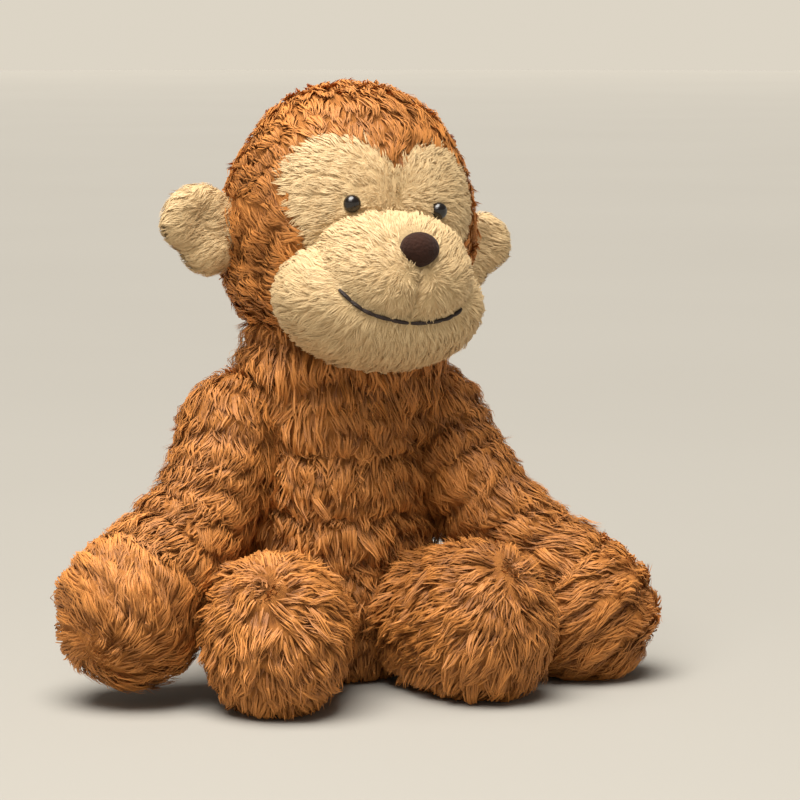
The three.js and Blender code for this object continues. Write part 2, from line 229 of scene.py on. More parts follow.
class Finish:
    """A material with one Principled shader, and one way to add any other node to it."""

    def __init__(self, name, roughness=0.8, **plain):
        self.material = bpy.data.materials.new(name)
        self.material.use_nodes = True
        self.tree = self.material.node_tree
        self.shader = self.tree.nodes["Principled BSDF"]
        self.shader.inputs["Roughness"].default_value = roughness
        for label, amount in plain.items():
            self.shader.inputs[label.replace("_", " ").title()].default_value = amount

    def node(self, kind, choices=None, *inputs, **named):
        node = self.tree.nodes.new(kind)
        for label, choice in (choices or {}).items():
            setattr(node, label, choice)
        for key, given in [*enumerate(inputs), *named.items()]:
            self.feed(node.inputs[key], given)
        return node

    def feed(self, socket, given):
        if isinstance(given, Value):
            given = given.socket
        if isinstance(given, bpy.types.NodeSocket):
            self.tree.links.new(given, socket)
        elif given is not None:
            socket.default_value = given

    def places(self, scale=(1, 1, 1)):
        place = self.node("ShaderNodeTexCoord")
        mapping = self.node("ShaderNodeMapping", None, place.outputs["Object"])
        mapping.inputs["Scale"].default_value = scale
        return mapping.outputs[0]

    def noise(self, size, detail=3.0, stretch=(1, 1, 1)):
        node = self.node("ShaderNodeTexNoise", None, Vector=self.places(stretch))
        node.inputs["Scale"].default_value = 1 / size
        node.inputs["Detail"].default_value = detail
        return Value(self, node.outputs[0])

    def waves(self, size, direction, distortion=0.0):
        choices = {"wave_type": "BANDS", "bands_direction": direction}
        node = self.node("ShaderNodeTexWave", choices, Vector=self.places())
        node.inputs["Scale"].default_value = 0.314 / size
        node.inputs["Distortion"].default_value = distortion
        return Value(self, node.outputs[1])

    def colours(self, factor, dark, light):
        node = self.node("ShaderNodeMix", {"data_type": "RGBA"})
        self.feed(node.inputs["Factor"], factor)
        self.feed(node.inputs[6], (*dark, 1))
        self.feed(node.inputs[7], (*light, 1))
        self.feed(self.shader.inputs["Base Color"], node.outputs[2])

    def bump(self, height, depth):
        node = self.node("ShaderNodeBump", None, Height=height, Distance=depth)
        self.feed(self.shader.inputs["Normal"], node.outputs[0])


def shaded(colour, amount):
    return tuple(part * amount for part in colour)


def plush_shades(name, root, tip, count):
    """Plain finishes from the pile's roots to its tips, for the faces of its strands; each face picks one
    by a tone that also carries painted shade in the pile's furrows and painted light on its crests.
    """
    finishes = []
    for step in range(count):
        share = step / (count - 1)
        colour = [low + (high - low) * share**1.15 for low, high in zip(root, tip)]
        finish = Finish(f"{name}_{step + 1}", roughness=0.6, Sheen_Weight=0.3, Sheen_Roughness=0.4)
        finish.shader.inputs["Base Color"].default_value = (*colour, 1)
        finish.shader.inputs["Specular IOR Level"].default_value = 0.35
        finish.shader.inputs["Sheen Tint"].default_value = (*tip, 1)
        finishes.append(finish.material)
    return finishes


def ground_finish(name, root, tip):
    """The heaped pile between the strands: streaked on its crests, with painted shade that makes it dark in
    its furrows and painted light on its crests.
    """
    finish = Finish(name, roughness=0.8)
    finish.shader.inputs["Specular IOR Level"].default_value = 0.2
    crest = finish.node("ShaderNodeAttribute", {"attribute_name": "crest"})
    comb = finish.node("ShaderNodeAttribute", {"attribute_name": "comb"})
    streaks = finish.node("ShaderNodeTexNoise", None, Vector=comb.outputs["Vector"])
    streaks.inputs["Scale"].default_value = 1 / (0.55 * MM)
    streaks.inputs["Detail"].default_value = 3.0
    fibre = Value(finish, streaks.outputs[0])
    # The crest's share of the tone is painted shade in the furrows and painted light on the crests; the
    # fibre's share is the pile's own streaks.
    tone = Value(finish, crest.outputs["Fac"]) * 0.45 + (fibre * 2.2 - 0.6) * 0.55
    dark = [low * 0.95 + high * 0.05 for low, high in zip(root, tip)]
    light = [low * 0.25 + high * 0.75 for low, high in zip(root, tip)]
    finish.colours(tone, dark, light)
    finish.bump(fibre, depth=0.6 * MM)
    return finish.material


def nose_finish():
    colour = settings("colour").nose
    finish = Finish("nose_suede", roughness=0.9, Sheen_Weight=0.05)
    finish.shader.inputs["Specular IOR Level"].default_value = 0.25
    nap = finish.noise(0.9 * MM, detail=5.0)
    patches = finish.noise(4 * MM, detail=2.0)
    finish.colours(nap * 0.6 + patches * 0.4, shaded(colour, 0.35), shaded(colour, 1.5))
    finish.bump(nap, depth=0.5 * MM)
    return finish.material


def eye_finish():
    finish = Finish("eye_gloss", roughness=0.22, Coat_Weight=0.3)
    finish.colours(finish.noise(2 * MM, detail=2.0), (0.004, 0.003, 0.003), (0.012, 0.008, 0.006))
    return finish.material


def thread_finish():
    colour = settings("colour").thread
    finish = Finish("smile_thread", roughness=0.6)
    twist = finish.waves(0.35 * MM, "DIAGONAL", distortion=1.0)
    finish.colours(twist, shaded(colour, 0.4), shaded(colour, 1.5))
    finish.bump(twist, depth=0.1 * MM)
    return finish.material


def cloth_finish(name, dark, light, thread):
    finish = Finish(name, roughness=0.85, Sheen_Weight=0.2)
    weave = finish.waves(thread, "X") * 0.5 + finish.waves(thread, "Z") * 0.5
    finish.colours(weave * 0.7 + finish.noise(3 * MM) * 0.3, dark, light)
    finish.bump(weave, depth=0.12 * MM)
    return finish.material


def fibre_finish():
    finish = Finish("polyester_fibre", roughness=0.9, Sheen_Weight=0.5)
    fibre = finish.noise(1.2 * MM, detail=6.0, stretch=(1, 3, 1))
    finish.colours(fibre, (0.70, 0.69, 0.66), (0.93, 0.92, 0.90))
    finish.bump(fibre, depth=0.8 * MM)
    return finish.material


def moulded_finish():
    finish = Finish("moulded_washer", roughness=0.45)
    finish.colours(finish.noise(1.5 * MM), (0.72, 0.71, 0.67), (0.82, 0.81, 0.77))
    return finish.material


# ---- modelling helpers ----

SWELL_PRESSURE = 3.0
SWELL_FRAMES = 12
SWELL_MOST = 1.2 * MM
SKIN_VOXEL = 1.6 * MM


def deselect():
    if bpy.context.object and bpy.context.object.mode != "OBJECT":
        bpy.ops.object.mode_set(mode="OBJECT")
    bpy.ops.object.select_all(action="DESELECT")


def take(piece):
    deselect()
    piece.select_set(True)
    bpy.context.view_layer.objects.active = piece


def modify(piece, kind, **choices):
    take(piece)
    modifier = piece.modifiers.new(kind.lower(), kind)
    for label, choice in choices.items():
        setattr(modifier, label, choice)
    bpy.ops.object.modifier_apply(modifier=modifier.name)


def settle_place(piece):
    take(piece)
    bpy.ops.object.transform_apply(location=True, rotation=True, scale=True)


def add_ball(centre, radii, turn=(0, 0, 0), segments=32):
    deselect()
    bpy.ops.mesh.primitive_uv_sphere_add(
        segments=segments, ring_count=segments * 5 // 8, radius=1, location=centre, rotation=turn
    )
    ball = bpy.context.object
    ball.scale = radii
    settle_place(ball)
    return ball


def joined(name, pieces):
    deselect()
    for piece in pieces:
        piece.select_set(True)
    bpy.context.view_layer.objects.active = pieces[0]
    if len(pieces) > 1:
        bpy.ops.object.join()
    pieces[0].name = name
    pieces[0].data.name = name
    return pieces[0]


def swell(piece):
    """Fills the skin as stuffing does: cloth under pressure, held to a small growth."""
    scene = bpy.context.scene
    before = corners(piece)
    take(piece)
    modifier = piece.modifiers.new("cloth", "CLOTH")
    modifier.settings.use_pressure = True
    modifier.settings.uniform_pressure_force = SWELL_PRESSURE
    modifier.settings.effector_weights.gravity = 0
    for number in range(1, SWELL_FRAMES + 1):
        scene.frame_set(number)
    bpy.ops.object.modifier_apply(modifier=modifier.name)
    scene.frame_set(1)
    moved = corners(piece) - before
    far = np.linalg.norm(moved, axis=1, keepdims=True)
    put_corners(piece, before + moved * np.minimum(1, SWELL_MOST / np.maximum(far, TINY)))


def corners(piece):
    places = np.empty(len(piece.data.vertices) * 3, np.float32)
    piece.data.vertices.foreach_get("co", places)
    return places.reshape(-1, 3).astype(float)


def put_corners(piece, places):
    piece.data.vertices.foreach_set("co", places.astype(np.float32).ravel())
    piece.data.update()


def stuffed_form(name, balls, voxel=SKIN_VOXEL, rounds=9, turn=(0, 0, 0)):
    """One smooth closed skin round a row of balls, swelled as if stuffed."""
    form = joined(name, [add_ball(centre, radii, turn) for centre, radii in balls])
    modify(form, "REMESH", mode="VOXEL", voxel_size=voxel)
    modify(form, "SMOOTH", factor=0.6, iterations=rounds)
    swell(form)
    bpy.ops.object.shade_smooth()
    return form


def rest_on_floor(form, level):
    places = corners(form)
    places[:, 2] = np.maximum(places[:, 2], level)
    put_corners(form, places)


def cut_panel(form, name, *cuts):
    """A copy of a form that keeps what lies on the side of each plane that its normal points to."""
    piece = form.copy()
    piece.data = form.data.copy()
    bpy.context.collection.objects.link(piece)
    piece.name = name
    piece.data.name = name
    take(piece)
    bpy.ops.object.mode_set(mode="EDIT")
    for point, normal in cuts:
        bpy.ops.mesh.select_all(action="SELECT")
        bpy.ops.mesh.bisect(plane_co=point, plane_no=Vector(normal).normalized(), clear_inner=True)
    bpy.ops.object.mode_set(mode="OBJECT")
    return piece


def drop_faces(piece, doomed):
    """Removes the faces whose middles a test picks."""
    take(piece)
    mesh = piece.data
    middles = np.array([face.center for face in mesh.polygons])
    chosen = doomed(middles)
    bpy.ops.object.mode_set(mode="EDIT")
    bpy.ops.mesh.select_all(action="DESELECT")
    bpy.ops.object.mode_set(mode="OBJECT")
    mesh.polygons.foreach_set("select", chosen)
    bpy.ops.object.mode_set(mode="EDIT")
    bpy.ops.mesh.select_mode(type="FACE")
    bpy.ops.mesh.delete(type="FACE")
    bpy.ops.object.mode_set(mode="OBJECT")


# ---- pile ----

LEAST_LEVEL = 0.5 * MM  # how near the floor the pile may lie
BACKING = 1.6 * MM  # thickness of a plush panel, from its ground to its lining
HEAPED = 0.6  # the ground's share of the height that its pile stands
ROW_CREST = 0.62  # where in a row its strands stand highest
BATCH = 2000  # strands whose nearest lock is looked for at a time


def unit(vectors):
    return vectors / np.maximum(np.linalg.norm(vectors, axis=-1, keepdims=True), TINY)


def wobble(places, size, seed):
    """Smooth noise between about -1 and 1 that changes over a length."""
    draw = np.random.default_rng(seed)
    waves = unit(draw.normal(size=(7, 3))) * draw.uniform(0.6, 1.5, (7, 1)) * 2 * math.pi / size
    turns = draw.uniform(0, 2 * math.pi, 7)
    return np.sin(places @ waves.T + turns).mean(axis=1) * 2.0


class Nap:
    """The lie of the pile. A kind of nap gives its radius, and a field: the pile's direction at a place,
    how far along the pile that is, and the angle round it."""

    ripples = 6
    evened = 2.4  # brings the sum of the ripples back to about -1 to 1
    drift = 30 * MM  # how far along the pile a furrow shifts by its own width
    stretch = 0.1  # how much slower a combed pattern changes along the pile than across it

    def ripple(self, along, angle, size, seed):
        """Furrows that run with the pile and part it into locks, the same all the way round."""
        draw = np.random.default_rng(seed)
        total = np.zeros(len(along))
        for _ in range(self.ripples):
            turns = round(2 * math.pi * self.radius / size * draw.uniform(0.6, 1.5))
            slant = draw.normal() * 2 * math.pi / self.drift
            total += np.sin(turns * angle + slant * along + draw.uniform(0, 2 * math.pi))
        return total / self.evened

    def comb(self, places):
        """Places to look a pattern up at, so that it runs in streaks along the pile."""
        _, along, angle = self.field(places)
        across = self.radius * np.cos(angle), self.radius * np.sin(angle)
        return np.stack([*across, along * self.stretch], axis=1)


class DownNap(Nap):
    """Down a round body that stands upright."""

    def __init__(self, radius, flare=0.3):
        self.radius = radius
        self.flare = flare

    def field(self, places):
        out = unit(places * (1, 1, 0))
        return out * self.flare - UP, -places[:, 2], np.arctan2(places[:, 0], -places[:, 1])


class WhorlNap(Nap):
    """Away from a whorl, over a round end and on down the limb behind it."""

    def __init__(self, centre, pole, radius, twist=0.0):
        self.centre = np.array(centre)
        self.pole = unit(np.array(pole, float))
        self.radius = radius
        self.twist = twist
        self.first = unit(np.cross(self.pole, (0.31, 0.17, 0.93)))
        self.second = np.cross(self.pole, self.first)

    def field(self, places):
        away = places - self.centre
        ahead = away @ self.pole
        off = away - ahead[:, None] * self.pole
        off_size = np.linalg.norm(off, axis=1)
        angle = np.arctan2(away @ self.second, away @ self.first)
        turned = np.arctan2(off_size, np.maximum(ahead, 0)) * self.radius
        along = np.where(ahead > 0, turned, self.radius * math.pi / 2 - ahead)
        direction = np.cross(self.pole, unit(away)) * self.twist - self.pole
        return direction, along, angle


class LineNap(Nap):
    """Along a bowed limb, and back from a whorl at its end."""

    def __init__(self, line, radius, turn_back=0.0):
        self.line = np.array(line)
        steps = np.linalg.norm(np.diff(self.line, axis=0), axis=1)
        self.travelled = np.concatenate([[0], np.cumsum(steps)])
        self.ahead = unit(np.gradient(self.line, axis=0))
        self.radius = radius
        self.turn_back = turn_back

    def field(self, places):
        gaps = ((places[:, None, :] - self.line[None]) ** 2).sum(axis=2)
        nearest = gaps.argmin(axis=1)
        ahead = self.ahead[nearest]
        off = places - self.line[nearest]
        along = self.travelled[nearest] + (off * ahead).sum(axis=1)
        first = unit(np.cross(ahead, (0.1, 0.97, 0.2)))
        angle = np.arctan2((off * np.cross(ahead, first)).sum(axis=1), (off * first).sum(axis=1))
        if not self.turn_back:
            return ahead, along, angle
        back = along > self.travelled[-1] - self.turn_back
        along = np.where(back, 2 * (self.travelled[-1] - self.turn_back) - along + 4 * MM, along)
        swirl = np.cross(ahead, unit(off)) * 0.8
        return np.where(back[:, None], swirl - ahead - 0.5 * UP, ahead), along, angle


def everywhere(places):
    return np.ones(len(places))


class Pile:
    """How a pile grows: its length, how high it stands, its crimped rows and its locks. Trim and
    relief give shares of its height and of its rows' depth over the places of a piece."""

    furrow = 3.4 * MM
    wander = (0.42, 25 * MM)  # how many rows a row strays, and over what length
    unevenness = (0.4, 29 * MM)  # how much the rows' depth changes, and over what length

    def __init__(
        self, length, height, crimp, row, width, rings, per_cm2, locks, gather, curl, stray,
        trim=everywhere, relief=everywhere,
    ):
        self.length = length
        self.height = height
        self.crimp = crimp
        self.row = row
        self.width = width
        self.rings = rings
        self.per_cm2 = per_cm2
        self.locks = locks
        self.gather = gather
        self.curl = curl
        self.stray = stray
        self.trim = trim
        self.relief = relief

    def heap(self, places, nap):
        """How high the ground and the strands stand over a place, how near it is to the crest of its
        row, how far the row's edge is, and the pile's direction there."""
        direction, along, angle = nap.field(places)
        ripple = nap.ripple(along, angle, self.furrow, seed=21)
        stray = self.wander[0] * wobble(places, self.wander[1], seed=3)
        rows = along / self.row + stray + 0.11 * ripple
        into = rows % 1
        uneven = self.unevenness[0] * wobble(places, self.unevenness[1], seed=4)
        depth = np.clip(0.78 + uneven, 0.25, 1.0) * self.relief(places)
        ridge = 1 - depth * (1 - np.sin(math.pi * into**1.45) ** 0.85)
        tuck = 0.6 * np.maximum(0, (into - ROW_CREST) / (1 - ROW_CREST)) ** 2
        brow = 1 - depth * (1 - np.sin(math.pi / 2 * np.minimum(into / ROW_CREST, 1)) + tuck)
        tall = self.height * self.trim(places)
        ground = tall * (1 - self.crimp * (1 - ridge) + 0.06 * ripple)
        strand = tall * (1 - self.crimp * (1 - brow) + 0.06 * ripple)
        return ground, strand, ridge * 0.35 + brow * 0.65, (1 - into) * self.row, direction


def long_pile(**changes):
    pile = settings("pile")
    values = dict(
        length=pile.long, height=5.4 * MM, crimp=0.72, row=pile.row, width=0.27 * MM, rings=3,
        per_cm2=pile.long_density, locks=12, gather=0.62, curl=0.11, stray=0.12,
    )
    values.update(changes)
    return Pile(**values)


def short_pile(**changes):
    pile = settings("pile")
    values = dict(
        length=pile.short, height=2.4 * MM, crimp=0.22, row=5 * MM, width=0.15 * MM, rings=2,
        per_cm2=pile.short_density, locks=9, gather=0.4, curl=0.03, stray=0.06,
    )
    values.update(changes)
    return Pile(**values)


class Skin:
    """The smooth form under a pile: finds its nearest place and its normal there."""

    def __init__(self, form):
        mesh = form.data
        mesh.calc_loop_triangles()
        triangles = np.empty(len(mesh.loop_triangles) * 3, np.int32)
        mesh.loop_triangles.foreach_get("vertices", triangles)
        self.triangles = triangles.reshape(-1, 3)
        self.places = corners(form)
        normals = np.empty(len(mesh.vertices) * 3, np.float32)
        mesh.vertices.foreach_get("normal", normals)
        self.normals = normals.reshape(-1, 3).astype(float)
        self.tree = BVHTree.FromPolygons(self.places.tolist(), self.triangles.tolist())

    def nearest(self, wanted):
        """The form's places nearest to some others, and its smooth normals there."""
        found, chosen = [], []
        for place in wanted.tolist():
            at, _, number, _ = self.tree.find_nearest(place)
            found.append(at[:])
            chosen.append(number)
        found = np.array(found)
        a, b, c = (self.places[self.triangles[chosen, k]] for k in range(3))
        edges = ((b, c), (c, a), (a, b))
        areas = [np.linalg.norm(np.cross(p - found, q - found), axis=1) for p, q in edges]
        areas = np.stack(areas, 1)
        areas /= areas.sum(axis=1, keepdims=True) + 1e-15
        return found, unit(np.einsum("nk,nkd->nd", areas, self.normals[self.triangles[chosen]]))


def scatter(piece, per_cm2, draw):
    """Random roots on a panel, with the panel's smooth normals."""
    mesh = piece.data
    mesh.calc_loop_triangles()
    triangles = np.empty(len(mesh.loop_triangles) * 3, np.int32)
    mesh.loop_triangles.foreach_get("vertices", triangles)
    triangles = triangles.reshape(-1, 3)
    places = corners(piece)
    a, b, c = (places[triangles[:, k]] for k in range(3))
    areas = np.linalg.norm(np.cross(b - a, c - a), axis=1) / 2
    count = int(areas.sum() * 1e4 * per_cm2)
    chosen = draw.choice(len(triangles), count, p=areas / areas.sum())
    first, second = draw.random(count), draw.random(count)
    flip = first + second > 1
    first[flip], second[flip] = 1 - first[flip], 1 - second[flip]
    weights = np.stack([1 - first - second, first, second], axis=1)
    return np.einsum("nk,nkd->nd", weights, places[triangles[chosen]])


def lock_groups(roots, count, draw):
    """Picks each lock's leading strand, and the lock that each strand joins."""
    centres = draw.choice(len(roots), max(1, count), replace=False)
    nearest = np.empty(len(roots), np.int64)
    for start in range(0, len(roots), BATCH):
        part = roots[start : start + BATCH]
        gaps = ((part[:, None, :] - roots[centres][None, :, :]) ** 2).sum(axis=2)
        nearest[start : start + BATCH] = gaps.argmin(axis=1)
    return centres, nearest


def strand_paths(skin, roots, nap, pile, draw):
    """Each strand's middle line, sides, normals and nearness to its row's crest, ring by ring, and its
    shade. The strands of a lock share one set of draws, and each adds a smaller set of its own."""
    count = len(roots)
    centres, locks_of = lock_groups(roots, count // pile.locks, draw)
    lock_draw = draw.normal(size=(len(centres), 4))[locks_of]
    own_draw = draw.normal(size=(count, 4))
    length = pile.length * np.clip(1 + 0.10 * lock_draw[:, 1] + 0.13 * own_draw[:, 1], 0.5, 1.4)
    length = length * pile.trim(roots) ** 0.7
    sway = 0.26 * lock_draw[:, 2] + 0.10 * own_draw[:, 2] + 0.35 * wobble(roots, 21 * MM, seed=8)
    level = 0.96 + 0.07 * lock_draw[:, 0] + 0.06 * own_draw[:, 0]
    stray = np.where(draw.random(count) < pile.stray, draw.uniform(0.3, 1.0, count), 0) * 2.6 * MM
    loose_lock = np.where(lock_draw[:, 3] > 1.2, 3.3 * pile.stray * pile.height, 0)
    stray = stray * pile.height / (5 * MM) + loose_lock
    curl_turn = lock_draw[:, 3] * 2 + 0.4 * own_draw[:, 3]
    at, normal = skin.nearest(roots)
    _, _, _, edge, _ = pile.heap(at, nap)
    # A strand ends a little past its row's edge, or past the next one where its own is too near.
    edge = edge + (1.2 + 0.8 * own_draw[:, 3] + 0.8 * lock_draw[:, 0]) * MM
    edge = np.where(edge < 0.3 * pile.length, edge + pile.row, edge)
    length = np.clip(length, None, np.maximum(edge, 0.42 * pile.length))
    paths, sides, ridges, normals, lies, rises = [], [], [], [], [], []
    for ring in range(pile.rings + 1):
        t = ring / pile.rings
        _, height, ridge, _, direction = pile.heap(at, nap)
        lie = direction - normal * (direction * normal).sum(axis=1, keepdims=True)
        flat = np.clip(np.linalg.norm(lie, axis=1) / 0.4, 0.4, 1)
        lie = unit(lie)
        side = np.cross(normal, lie)
        rise = height * level * (1 - 0.45 * (1 - t) ** 2.5) + stray * t**2
        rise = rise + 0.45 * length * (1 - flat) * t
        curl = pile.curl * length * t * np.sin(2 * math.pi * 0.8 * t + curl_turn)
        paths.append(at + normal * rise[:, None] + side * curl[:, None])
        sides.append(side)
        ridges.append(ridge)
        normals.append(normal)
        lies.append(lie)
        rises.append(rise)
        if ring < pile.rings:
            ahead = unit(lie + side * sway[:, None]) * (length * flat / pile.rings)[:, None]
            at, normal = skin.nearest(at + ahead)
    paths = np.stack(paths, axis=1)
    steps = np.diff(np.stack(rises, 1), axis=1) / (length / pile.rings)[:, None]
    slopes = np.concatenate([steps, steps[:, -1:]], axis=1)[:, :, None]
    normals = unit(np.stack(normals, 1) - np.stack(lies, 1) * slopes * 0.9)
    t = np.linspace(0, 1, pile.rings + 1)[None, :, None]
    # Towards their tips the strands draw in to their lock's leading strand.
    lead = paths[centres][locks_of]
    pull = pile.gather * t * (0.8 + 0.4 * draw.random(count))[:, None, None]
    paths = paths + (lead - paths) * np.clip(pull, 0, 0.95)
    shade = 0.07 * lock_draw[:, 0] + 0.05 * own_draw[:, 0]
    return paths, np.stack(sides, 1), normals, np.stack(ridges, 1), shade


# A strand's cross-section: its back and its two edges, across and above its middle line.
STRAND_RIM = np.array([(0.0, 0.32), (1.0, -0.12), (-1.0, -0.12)])
# How wide a strand is along its length, as places from root to tip and shares of its width there.
STRAND_TAPER = (0, 0.25, 0.6, 1), (0.8, 1.0, 0.85, 0.4)


def strand_mesh(name, paths, sides, normals, width, tone, shades):
    """Closed flat-bellied strands that taper to a point, as one mesh."""
    count, steps, _ = paths.shape
    rings = steps - 1
    taper = np.interp(np.arange(rings) / rings, *STRAND_TAPER)
    spread = width[:, None, None, None] * taper[None, :, None, None]
    across = sides[:, :rings, None, :] * STRAND_RIM[None, None, :, :1]
    above = normals[:, :rings, None, :] * STRAND_RIM[None, None, :, 1:]
    rims = paths[:, :rings, None, :] + spread * (across + above)
    verts = np.concatenate([rims.reshape(count, rings * 3, 3), paths[:, -1:, :]], axis=1)

    def shading(way):
        rim = unit(normals[:, :rings, None, :] * 0.85 * way + (across + above) * 0.4)
        return np.concatenate([rim.reshape(count, -1, 3), normals[:, -1:, :] * way], axis=1)

    facing, under = shading(1), shading(-1)
    faces = [(0, 1, 2)]
    level = [0]
    belly = [False]
    for ring in range(rings - 1):
        for k in range(3):
            a, b = ring * 3 + k, ring * 3 + (k + 1) % 3
            faces += [(a, b + 3, b), (a, a + 3, b + 3)]
            level += [ring, ring]
            belly += [k == 1, k == 1]
    for k in range(3):
        faces.append(((rings - 1) * 3 + k, rings * 3, (rings - 1) * 3 + (k + 1) % 3))
        level.append(rings - 1)
        belly.append(k == 1)
    faces, level, belly = np.array(faces), np.array(level), np.array(belly)
    facing = np.where(belly[None, :, None, None], under[:, faces], facing[:, faces])
    whole = (faces[None] + (np.arange(count) * (rings * 3 + 1))[:, None, None]).reshape(-1, 3)
    tones = (tone[:, :-1] + tone[:, 1:])[:, level] / 2
    slot = np.clip(np.floor(tones * len(shades)), 0, len(shades) - 1).astype(np.int32).ravel()
    return mesh_piece(name, verts.reshape(-1, 3), whole, slot, shades, facing.reshape(-1, 3))


def mesh_piece(name, verts, faces, slot, finishes, facing):
    mesh = bpy.data.meshes.new(name)
    mesh.vertices.add(len(verts))
    mesh.vertices.foreach_set("co", np.ascontiguousarray(verts, np.float32).ravel())
    mesh.loops.add(faces.size)
    mesh.loops.foreach_set("vertex_index", np.ascontiguousarray(faces, np.int32).ravel())
    mesh.polygons.add(len(faces))
    mesh.polygons.foreach_set("loop_start", np.arange(0, faces.size, 3, dtype=np.int32))
    for finish in finishes:
        mesh.materials.append(finish)
    mesh.polygons.foreach_set("material_index", slot)
    mesh.polygons.foreach_set("use_smooth", np.ones(len(faces), bool))
    mesh.update(calc_edges=True)
    mesh.validate()
    mesh.normals_split_custom_set(facing.tolist())
    piece = bpy.data.objects.new(name, mesh)
    bpy.context.collection.objects.link(piece)
    return piece


def brush(panel, form, nap, pile, kind, skip=None):
    """Heaps a panel up as its pile does, and grows the strands over it as a piece of their own."""
    seed = settings("pile").seed + sum(ord(letter) for letter in panel.name)
    draw = np.random.default_rng(seed)
    skin = Skin(form)
    roots = scatter(panel, pile.per_cm2, draw)
    if skip is not None:
        roots = roots[~skip(roots)]
    paths, sides, normals, ridges, shade = strand_paths(skin, roots, nap, pile, draw)
    keep = (paths[:, :, 2] > LEAST_LEVEL).any(axis=1)
    grown = (paths, sides, normals, ridges, shade)
    paths, sides, normals, ridges, shade = (part[keep] for part in grown)
    paths[:, :, 2] = np.maximum(paths[:, :, 2], LEAST_LEVEL)
    width = pile.width * (1 + 0.25 * draw.normal(size=len(paths)).clip(-2, 2))
    reach = np.linspace(0, 1, pile.rings + 1)[None, :]
    # Painted shade: a strand is darker in a furrow and lighter on a crest. It also gets lighter towards its
    # tip, and lock by lock its tone differs at random.
    low, painted_furrow_shade, by_reach = kind.tones
    tone = low + painted_furrow_shade * ridges + by_reach * reach + kind.variety * shade[:, None]
    tone = tone + kind.variety * 0.05 * wobble(paths[:, 0], 38 * MM, seed=11)[:, None]
    pile_name = panel.name.replace("_plush", "_pile")
    strands = strand_mesh(pile_name, paths, sides, normals, width, tone, kind.shades)
    places = corners(panel)
    height, _, ridge, _, _ = pile.heap(places, nap)
    _, outward = skin.nearest(places)
    places = places + outward * (height * HEAPED)[:, None]
    places[:, 2] = np.maximum(places[:, 2], LEAST_LEVEL)
    panel.data.vertices.foreach_set("co", places.astype(np.float32).ravel())
    # The crests drive the ground's painted shade in the furrows and its painted light on the crests.
    crest = panel.data.attributes.new("crest", "FLOAT", "POINT")
    crest.data.foreach_set("value", ridge.astype(np.float32))
    comb = panel.data.attributes.new("comb", "FLOAT_VECTOR", "POINT")
    comb.data.foreach_set("vector", nap.comb(corners(panel)).astype(np.float32).ravel())
    modify(panel, "SOLIDIFY", thickness=BACKING, offset=-1)
    panel.data.materials.clear()
    panel.data.materials.append(kind.ground)
    take(panel)
    bpy.ops.object.shade_smooth()
    return strands


class Plush:
    """One of the two plush cloths: its ground, its strands' shades and how they run. Its tones paint shade
    into the pile's furrows and light onto its crests.
    """

    def __init__(self, name, root, tip, count, tones, variety):
        self.shades = plush_shades(name, root, tip, count)
        self.ground = ground_finish(name + "_ground", root, tip)
        self.tones = tones
        self.variety = variety
        self.name = name


def sew(panel, strands, body, nodes):
    """Hands a finished plush panel and its pile to the frame."""
    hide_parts(*nodes)
    for piece in (panel, strands):
        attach(piece, body)


# ---- the toy's own dimensions, in millimetres, in the frame's own places ----

TORSO = (
    ((0, 5.3, 12.5), (30.5, 26.5, 15)),
    ((0, 4.2, 27), (32.5, 27.5, 27)),
    ((0, 3.0, 45), (31.5, 26, 24)),
    ((0.5, 0.8, 64), (29.5, 24.6, 22)),
    ((1, -0.6, 82), (28, 23.6, 18.6)),
    ((1, 0, 90), (35, 19, 13)),
)
SIDE_SEAM = 5
SEAT_RIM = 7
TORSO_LEVEL = 0.6  # how near the floor the forms come
LIMB_LEVEL = 0.8
NECK = (28.5, 23, 20)
NECK_HALF = 11
HEAD_EGGS = {
    "skull": (((0, 4, 4), (37.5, 35.5, 39.5)), ((0, 4, -13), (34.5, 32, 23))),
    "chin": (((-0.6, -25, -19), (32.6, 22.5, 20)),),
    "muzzle": (((0, -30, -12), (25.5, 21.5, 18)), ((0, -29, -4), (22.5, 18.5, 12))),
}
SKULL_CENTRE = HEAD_EGGS["skull"][0][0]
CROWN_WHORL = (0, 37, 23)
FACE_WHORL = ((0, -22, -6), (0, -60, 2))  # the middle of the face, and a place well in front of it
BROW_LOBE = (14.5, 13.2, 16.2)  # across, up and radius
BROW_HALF = 29.5
SMILE = ((22, -15.5), (17.5, -20.3), (10.7, -22.9), (0.5, -23.8))  # across and up
STITCH = 8  # points of the smile's line to one stitch
THREAD = 0.62  # half its thickness
THREAD_OUT = 1.3  # from the ground under the pile
CREASE_DEPTH = 2.2
BURIED = 0.8  # how deep in another form a panel's seam allowance still runs
NOSE = ((0, -49.6, -1), (6.3, 4.6, 5.6))
EYE = ((14.7, -29.7, 10.3), 2.75)
EAR = ((49, 8, 0), (11, 5.4, 10.5))
EAR_LOBE = ((44.5, 8, -8), (8, 4.6, 8))
EAR_ROOT = ((38.5, 8, -2), (4.4, 4.4, 8))
EAR_SIZE = {"left": 0.86, "right": 1.0}
EAR_DISH = 3.4
ARM = {
    "end": {"left": (74, -32, 20.5), "right": (-73, -19, 28.5)},
    "bow": {"left": (-11, 3, 0), "right": (15, 2, 2)},
}
ARM_RADII = (13.5, 13.9, 14.0, 14.2, 15.4, 18.0, 20.2)
LEG_END = {"left": (30.5, -49, 22.6), "right": (-37, -47, 22.6)}
LEG_RADII = (14, 16.3, 18.3, 21, 22.2)
SOLE_SEAM = 7  # in front of the foot's middle
FOOT_WIDTH = {"left": 0.86, "right": 0.79}  # over its height
TAIL = ((0, 31, 13), (-22, 13, -1), (36, 88, 8.4))
TAIL_RADII = (7, 7, 7, 7.1, 7.2, 7.3, 7.4, 7.6)
TAIL_BALLS = 14
